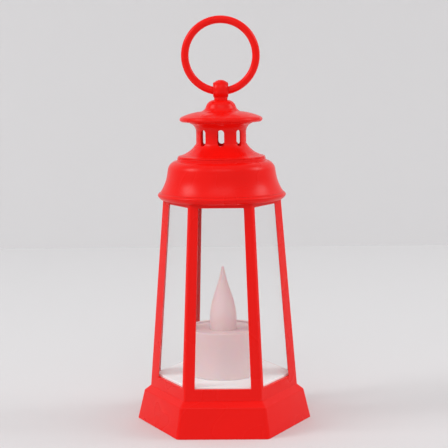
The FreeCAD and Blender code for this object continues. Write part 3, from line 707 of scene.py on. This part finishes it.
class LANTERN_OT_candle(bpy.types.Operator):
    """Build the milky candle and its hollow flame"""
    bl_idname = "lantern.candle"
    bl_label = "Candle"

    def execute(self, context):
        wall, ceiling, recess, rim, rim_slope = 1.2, 1.0, 0.7, 1.3, 0.1
        flame_radius, flame_wall, flame_upright = 4.6, 1.4, 3.6
        socket_gap, socket_wall, socket_depth = 0.03, 1.55, 10.5
        radius = node_radius("candle_shell")
        floor = candle_top - recess
        socket = flame_radius + socket_gap
        socket_bottom = floor - socket_depth
        profile = outline(
            (radius - wall, tray_top),
            [(radius, tray_top)],
            [(radius, candle_top)],
            [(radius - rim, candle_top)],
            [(radius - rim - rim_slope, floor)],
            [(socket, floor)],
            [(socket, socket_bottom)],
            [(socket + socket_wall, socket_bottom)],
            [(socket + socket_wall, floor - ceiling)],
            [(radius - wall, floor - ceiling)],
        )
        shell = mesh_object("candle_body", lathe(profile))
        soften(shell, 0.45, angle=35.0, steps=4)
        place_piece(shell, "candle_shell")

        tip, foot = node_top("candle_flame"), node_bottom("candle_flame")
        curve_foot = floor + flame_upright
        rise = tip - curve_foot
        belly = (flame_radius - 0.1, curve_foot + rise * 0.37, 0.0)
        waist = (1.9, curve_foot + rise * 0.54, 0.0)
        point_foot = (0.5, tip - 0.6, 0.0)
        curve = interpolate_bezier((flame_radius, curve_foot, 0.0), belly, waist, point_foot, 40)
        profile = [(flame_radius, foot)] + [(point[0], point[1]) for point in curve]
        profile += arc(profile[-1], (0.36, tip - 0.16), (0.0, tip), 6)
        lamp_top, bore = node_top("led"), flame_radius - flame_wall
        profile += [(0.0, lamp_top + bore), (bore * 0.3, lamp_top + bore), (bore, lamp_top), (bore, foot)]
        flame = mesh_object("flame", lathe(profile))
        soften(flame, 0.2, angle=35.0)
        place_piece(flame, "candle_flame")
        return {"FINISHED"}


class LANTERN_OT_dome(bpy.types.Operator):
    """Build the roof: a rounded rim, a hollow curve, an upright wall and a soft shoulder"""
    bl_idname = "lantern.dome"
    bl_label = "Roof dome"

    def execute(self, context):
        rim_drop, rim_height, flare_step, flare_rise = 1.45, 1.4, 3.25, 6.6
        wall_lean, wall_rise, shoulder_step, collar_step = 0.4, 9.0, 2.45, 0.75
        wall_thickness, web, web_hole, seat_gap = 1.3, 1.2, 11.0, 0.03
        spigot_gap, spigot_wall = 0.2, 1.2
        rim_bottom = cage_top - rim_drop
        widest = rim_bottom + rim_height
        bore = cage_radius(rim_bottom)
        wall, wall_foot = rim_radius - flare_step, cage_top + flare_rise
        wall_head, wall_top = wall - wall_lean, cage_top + wall_rise
        shoulder = wall_head - shoulder_step
        collar = shoulder - collar_step
        neck_seat = NECK_RADIUS + NECK_SPIGOT + seat_gap
        inner, ceiling = wall - wall_thickness, dome_top - wall_thickness
        spigot = cage_head() * COS30 - size("cage_wall") - size("pane") - spigot_gap
        spigot_bore, spigot_bottom = spigot - spigot_wall, node_bottom("roof_dome")
        profile = outline(
            (bore, rim_bottom),
            [(bore + 0.35, rim_bottom)],
            [(rim_radius - 0.5, widest - 0.75), (rim_radius, widest)],
            [(rim_radius - 0.25, widest + 0.5), (rim_radius - 0.9, widest + 1.0)],
            [(wall + 0.9, cage_top + 3.6), (wall, wall_foot)],
            [(wall_head, wall_top)],
            [(wall_head - 0.6, dome_top - 1.3), (shoulder, dome_top)],
            [(collar, dome_top)],
            [(collar, collar_top)],
            [(neck_seat, collar_top)],
            [(neck_seat, ceiling)],
            [(shoulder - 0.6, ceiling)],
            [(inner - 0.5, wall_top - 0.9)],
            [(inner, wall_foot)],
            [(inner, cage_top + web)],
            [(web_hole, cage_top + web)],
            [(web_hole, cage_top)],
            [(spigot_bore, cage_top)],
            [(spigot_bore, spigot_bottom)],
            [(spigot, spigot_bottom)],
            [(spigot, cage_top)],
            [(bore, cage_top)],
        )
        dome = mesh_object("roof", lathe(profile, count=180))
        soften(dome, 0.18, angle=30.0)
        place_piece(dome, "roof_dome")
        return {"FINISHED"}


class LANTERN_OT_neck(bpy.types.Operator):
    """Build the flared neck with its ring of round-ended vent slots"""
    bl_idname = "lantern.neck"
    bl_label = "Vent neck"

    VENTS = 8
    CROWN_STEPS = 12     # along a slot's round end, and along the top of its patch of wall
    SIDE_STEPS = 10      # along a slot's straight side
    MARGIN = 0.5         # of wall above and below a slot, in its patch
    SLOT_EDGE = 0.14     # rounding of the slots' outer edges
    SEAM = 2e-3          # points this close, where two patches meet, become one

    def outside(self):
        """The outside of the neck, from its foot on the dome up to the flange."""
        lip_height, lip_rounding, skirt_rise = 0.6, 0.3, 5.9
        flange_step, flange_height, flange_lip = 2.05, 3.0, 0.55
        radius, lip = NECK_RADIUS, node_radius("vent_neck")
        lip_top, skirt_top = collar_top + lip_height, dome_top + skirt_rise
        step, rise = lip - radius, skirt_top - lip_top
        bend = lip_rounding * 0.3
        return outline(
            (radius + NECK_SPIGOT, collar_top),
            [(lip, collar_top)],
            [(lip, lip_top - lip_rounding)],
            [(lip - bend, lip_top - bend), (lip - lip_rounding, lip_top)],
            [(radius + step * 0.3, lip_top + rise * 0.47), (radius, skirt_top)],
            [(radius, neck_top - flange_height)],
            [(radius + 0.75, neck_top - 1.35), (radius + flange_step, neck_top - flange_lip)],
            [(radius + flange_step, neck_top)],
        )

    def radius_at(self, height):
        """Outer radius of the neck at a height."""
        for (r0, z0), (r1, z1) in zip(self.profile, self.profile[1:]):
            if z0 <= height <= z1 and z1 > z0:
                return r0 + (r1 - r0) * (height - z0) / (z1 - z0)
        raise RuntimeError(f"the neck has no wall at height {height}")

    def slot_outline(self, grow):
        """Points (x, z) round a slot that is wider by grow all round, anticlockwise from below left."""
        half = size("vent_width") / 2
        radius = half + grow
        low, high = self.slot_foot + half, self.slot_head - half
        points = []
        for side, start, height in ((1, math.pi, low), (-1, 0.0, high)):
            for i in range(self.CROWN_STEPS):
                angle = start + math.pi * i / self.CROWN_STEPS
                points.append((radius * math.cos(angle), height + radius * math.sin(angle)))
            for i in range(self.SIDE_STEPS):
                points.append((side * radius, height + side * (high - low) * i / self.SIDE_STEPS))
        return points

    def patch_outline(self, low, high):
        """Points (angle, z) round the patch of wall about a slot, in the same order as the slot's."""
        half = math.pi / self.VENTS
        points = []
        for side, height in ((1, low), (-1, high)):
            for i in range(self.CROWN_STEPS):
                points.append((side * half * (2 * i / self.CROWN_STEPS - 1), height))
            for i in range(self.SIDE_STEPS):
                points.append((side * half, height + side * (high - low) * i / self.SIDE_STEPS))
        return points

    def patch(self, low, high):
        """The wall round one slot: outer face, rounded slot edge, slot wall, inner face."""
        border = self.patch_outline(low, high)
        rounding, bends = self.SLOT_EDGE, 4
        rings = []

        def on_wall(angle, height, radius):
            return (radius * math.sin(angle), -radius * math.cos(angle), height)

        def between(outer, share):
            """A ring part of the way from the slot's edge, at 0, to the patch's border, at 1."""
            ring = []
            for (angle, z), (x, slot_z) in zip(border, self.slot_outline(rounding if outer else 0.0)):
                slot_angle = math.asin(x / (self.radius_at(slot_z) if outer else self.bore))
                height = slot_z + (z - slot_z) * share
                radius = self.radius_at(height) if outer else self.bore
                ring.append(on_wall(slot_angle + (angle - slot_angle) * share, height, radius))
            return ring

        for share in (1.0, 0.75, 0.5, 0.25, 0.08, 0.0):
            rings.append(between(True, share))
        for i in range(1, bends + 1):
            bend = math.radians(90.0 * i / bends)
            ring = []
            for x, z in self.slot_outline(rounding * (1 - math.sin(bend))):
                radius = self.radius_at(z) - rounding * (1 - math.cos(bend))
                ring.append(on_wall(math.asin(x / radius), z, radius))
            rings.append(ring)
        for share in (0.0, 0.5, 1.0):
            rings.append(between(False, share))
        return skin(rings, closed=False)

    def execute(self, context):
        self.bore = NECK_RADIUS - size("neck_wall")
        self.profile = self.outside()
        self.slot_foot = dome_top + size("vent_foot")
        self.slot_head = self.slot_foot + size("vent_height")
        low, high = self.slot_foot - self.MARGIN, self.slot_head + self.MARGIN
        count = self.VENTS * self.CROWN_STEPS
        below = [point for point in self.profile if point[1] < low] + [(self.radius_at(low), low)]
        above = [(self.radius_at(high), high)] + [point for point in self.profile if point[1] > high]
        spigot, spigot_bottom = NECK_RADIUS + NECK_SPIGOT, node_bottom("vent_neck")
        foot = [(self.bore, low), (self.bore, spigot_bottom), (spigot, spigot_bottom)] + below
        head = above + [(self.bore, neck_top), (self.bore, high)]
        first = FRONT - 180.0 / self.VENTS
        parts = [skin([circle(radius, height, count, first) for radius, height in stretch], closed=False)
                 for stretch in (foot, head)]
        patch = self.patch(low, high)
        for i in range(self.VENTS):
            parts.append(moved(patch, Matrix.Rotation(math.tau * i / self.VENTS, 4, "Z")))
        neck = mesh_object("vented_neck", joined(*parts), weld=self.SEAM)
        soften(neck, 0.15, angle=40.0)
        place_piece(neck, "vent_neck")
        return {"FINISHED"}


class LANTERN_OT_cap(bpy.types.Operator):
    """Build the chimney cap: a shallow umbrella that rises into a bell"""
    bl_idname = "lantern.cap"
    bl_label = "Chimney cap"

    def execute(self, context):
        brim_height, brim_step, bell_rise, bell_radius = 0.8, 1.35, 3.4, 6.8
        waist_radius, waist_rise, crown_radius = 5.1, 1.55, 2.8
        spigot_gap, spigot_wall = 0.03, 1.2
        socket, post, post_rise = 1.95, 3.4, 0.9     # the post that the ring's clip is pressed into
        hollow, roof = 5.5, 1.3                      # round that post, under the bell
        radius, foot = node_radius("chimney_cap"), node_bottom("chimney_cap")
        widest, bell_foot = neck_top + brim_height, neck_top + bell_rise
        spigot = NECK_RADIUS - size("neck_wall") - spigot_gap
        profile = outline(
            (spigot - spigot_wall, foot),
            [(spigot, foot)],
            [(spigot, neck_top)],
            [(radius - brim_step, neck_top)],
            [(radius - 0.2, widest - 0.5), (radius, widest)],
            [(radius - 0.25, widest + 0.5), (radius - 0.95, widest + 0.95)],
            [(bell_radius + 3.4, bell_foot - 0.62), (bell_radius, bell_foot)],
            [(waist_radius + 0.43, bell_foot + 0.78), (waist_radius, bell_foot + waist_rise)],
            [(crown_radius + 1.5, cap_top - 0.85), (crown_radius, cap_top)],
            [(socket, cap_top)],
            [(socket, neck_top + post_rise)],
            [(post, neck_top + post_rise)],
            [(post, bell_foot - roof)],
            [(hollow, bell_foot - roof)],
            [(spigot - spigot_wall, neck_top)],
        )
        cap = mesh_object("bell_cap", lathe(profile, count=160))
        soften(cap, 0.15, angle=34.0)
        place_piece(cap, "chimney_cap")
        return {"FINISHED"}


class LANTERN_OT_clip(bpy.types.Operator):
    """Build the barrel-shaped eye that holds the ring, with its foot and forked spigot"""
    bl_idname = "lantern.clip"
    bl_label = "Ring clip"

    def execute(self, context):
        eye_radius, end_radius, foot_radius, spigot_radius = 3.4, 2.6, 2.35, 1.9
        barb, barb_rise, ring_gap, half_fork = 0.3, 0.9, 0.35, 0.5
        beyond, bore_sides = 4.0, 48     # beyond is how far the cutters reach to each side
        half, bottom = node_radius("ring_clip"), node_bottom("ring_clip")
        middle = cap_top + eye_radius
        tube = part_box("hanging_ring")[1].y / MM
        bore, eye_height = tube + ring_gap, node_bottom("hanging_ring") + tube
        profile = outline(
            (0.0, -half),
            [(end_radius - 0.4, -half)],
            [(end_radius - 0.12, 0.12 - half), (end_radius, 0.45 - half)],
            [(eye_radius, 0.0), (end_radius, half - 0.45)],
            [(end_radius - 0.12, half - 0.12), (end_radius - 0.4, half)],
            [(0.0, half)],
        )
        lying = Matrix.Translation((0.0, 0.0, middle)) @ Matrix.Rotation(math.pi / 2, 4, "Y")
        clip = mesh_object("eye_clip", moved(lathe(profile, closed=False, count=96), lying))
        stem = outline(
            (0.0, bottom),
            [(spigot_radius - barb, bottom)],
            [(spigot_radius + barb, bottom + barb_rise)],
            [(spigot_radius, bottom + barb_rise)],
            [(spigot_radius, cap_top)],
            [(foot_radius, cap_top)],
            [(foot_radius, middle)],
            [(0.0, middle)],
        )
        boolean(clip, "UNION", mesh_object("stem", lathe(stem, closed=False, count=72)))
        turns = [math.tau * i / bore_sides for i in range(bore_sides)]
        rings = [[(x, bore * math.cos(turn), eye_height + bore * math.sin(turn)) for turn in turns]
                 for x in (-beyond, beyond)]
        boolean(clip, "DIFFERENCE", mesh_object("bore", skin(rings, closed=False, capped=True)))
        corners = ((-beyond, -half_fork), (beyond, -half_fork), (beyond, half_fork), (-beyond, half_fork))
        rings = [[(x, y, z) for x, y in corners] for z in (bottom - 1.0, eye_height)]
        boolean(clip, "DIFFERENCE", mesh_object("slot", skin(rings, closed=False, capped=True)))
        soften(clip, 0.1, angle=38.0, steps=2)
        place_piece(clip, "ring_clip")
        return {"FINISHED"}


class LANTERN_OT_ring(bpy.types.Operator):
    """Build the hanging ring, with the fine line where its two mould halves met"""
    bl_idname = "lantern.ring"
    bl_label = "Hanging ring"

    def execute(self, context):
        turns, tube_steps = 192, 40
        flash, flash_sharpness = 0.04, 60     # height of the mould line, and how narrow it is
        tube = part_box("hanging_ring")[1].y / MM
        radius = node_radius("hanging_ring") - tube
        middle = (node_bottom("hanging_ring") + node_top("hanging_ring")) / 2
        rings = []
        for i in range(turns):
            around = math.tau * i / turns
            ring = []
            for j in range(tube_steps):
                angle = math.tau * j / tube_steps
                across = tube - flash + flash * abs(math.cos(angle)) ** flash_sharpness
                reach = radius + across * math.cos(angle)
                ring.append((reach * math.sin(around), across * math.sin(angle),
                             middle + reach * math.cos(around)))
            rings.append(ring)
        ring = mesh_object("carry_ring", skin(rings))
        soften(ring, 0.01, angle=80.0)
        place_piece(ring, "hanging_ring", "ring")
        return {"FINISHED"}


class LANTERN_OT_works(bpy.types.Operator):
    """Give the frame's nodes their materials, since the board, the cell and the contacts show as they are"""
    bl_idname = "lantern.works"
    bl_label = "Electric works"

    def execute(self, context):
        for node, obj in frame["nodes"].items():
            dress(obj, SLOTS[node])
        return {"FINISHED"}


# ---- stage

LANTERN_MIDDLE = (0.0, 0.0, 0.07)     # where the lights point, in metres


def area_light(name, place, extent, power):
    """A soft box at place, in metres, that looks at the lantern and isn't seen itself."""
    light = bpy.data.lights.new(name, "AREA")
    light.shape = "RECTANGLE"
    light.size, light.size_y = extent
    light.energy = power
    lamp = new_object(name, light)
    lamp.location = place
    lamp.rotation_euler = (Vector(LANTERN_MIDDLE) - Vector(place)).to_track_quat("-Z", "Y").to_euler()
    lamp.visible_camera = False


def make_camera(scene):
    """A long lens at the lantern's front, a little above its middle and looking slightly down."""
    azimuth, distance, height = math.radians(1.051), 406.42, 119.656
    pan, tilt, roll = math.radians(0.088), math.radians(7.267), math.radians(-0.623)
    data = bpy.data.cameras.new("camera")
    data.sensor_width = 36.0
    data.lens = 96.35
    data.clip_start = 10.0 * MM
    camera = new_object("camera", data)
    turn = (Matrix.Rotation(azimuth - pan, 4, "Z") @ Matrix.Rotation(math.pi / 2 - tilt, 4, "X")
            @ Matrix.Rotation(roll, 4, "Z"))
    place = Vector((distance * math.sin(azimuth), -distance * math.cos(azimuth), height)) * MM
    camera.matrix_world = Matrix.Translation(place) @ turn
    scene.camera = camera


def make_cards():
    """A card that lies flat under the lantern, with a second one that stands behind it."""
    wall, reach, top = size("wall_distance"), 1600.0, 1500.0
    points = [(x, y, z) for y, z in ((-reach, 0.0), (wall, 0.0), (wall, top)) for x in (-reach, reach)]
    cards = mesh_object("sweep", (points, [(0, 1, 3, 2), (2, 3, 5, 4)]))
    dress(cards, "matt_card")


class LANTERN_OT_stage(bpy.types.Operator):
    """Build the camera, the cards under and behind the lantern, and the studio lights"""
    bl_idname = "lantern.stage"
    bl_label = "Stage"

    def execute(self, context):
        scene = context.scene
        make_camera(scene)
        make_cards()
        area_light("left_box", (-0.75, -0.2, 0.62), (0.34, 0.34), 2.7)
        area_light("right_box", (0.8, 0.05, 0.6), (0.34, 0.34), 2.1)
        area_light("front_box", (0.0, -0.9, 1.0), (0.9, 0.45), 2.0)
        world = bpy.data.worlds.new("studio")
        world.use_nodes = True
        background = world.node_tree.nodes["Background"]
        background.inputs["Color"].default_value = (*linear("#ffffff"), 1.0)
        background.inputs["Strength"].default_value = 0.64
        scene.world = world
        scene.view_settings.view_transform = "Standard"
        return {"FINISHED"}


class LANTERN_PT_panel(bpy.types.Panel):
    """Lists the lantern's build steps"""
    bl_idname = "LANTERN_PT_panel"
    bl_label = "Candle Lantern"
    bl_space_type = "VIEW_3D"
    bl_region_type = "UI"
    bl_category = "Lantern"

    def draw(self, context):
        for step in STEPS:
            self.layout.operator(step.bl_idname)
        for settings in (context.scene.lantern_colours, context.scene.lantern_sizes):
            for name in settings.bl_rna.properties.keys():
                if name not in ("name", "rna_type"):
                    self.layout.prop(settings, name)


STEPS = (LANTERN_OT_base, LANTERN_OT_underside, LANTERN_OT_cage, LANTERN_OT_panes, LANTERN_OT_tray,
         LANTERN_OT_candle, LANTERN_OT_dome, LANTERN_OT_neck, LANTERN_OT_cap, LANTERN_OT_clip,
         LANTERN_OT_ring, LANTERN_OT_works, LANTERN_OT_stage)
CLASSES = (LanternColours, LanternSizes, *STEPS, LANTERN_PT_panel)


def register():
    for cls in CLASSES:
        bpy.utils.register_class(cls)
    bpy.types.Scene.lantern_colours = PointerProperty(type=LanternColours)
    bpy.types.Scene.lantern_sizes = PointerProperty(type=LanternSizes)


def unregister():
    del bpy.types.Scene.lantern_sizes
    del bpy.types.Scene.lantern_colours
    for cls in reversed(CLASSES):
        bpy.utils.unregister_class(cls)


def main():
    register()
    for step in STEPS:
        group, name = step.bl_idname.split(".")
        getattr(getattr(bpy.ops, group), name)()


if __name__ == "__main__":
    main()
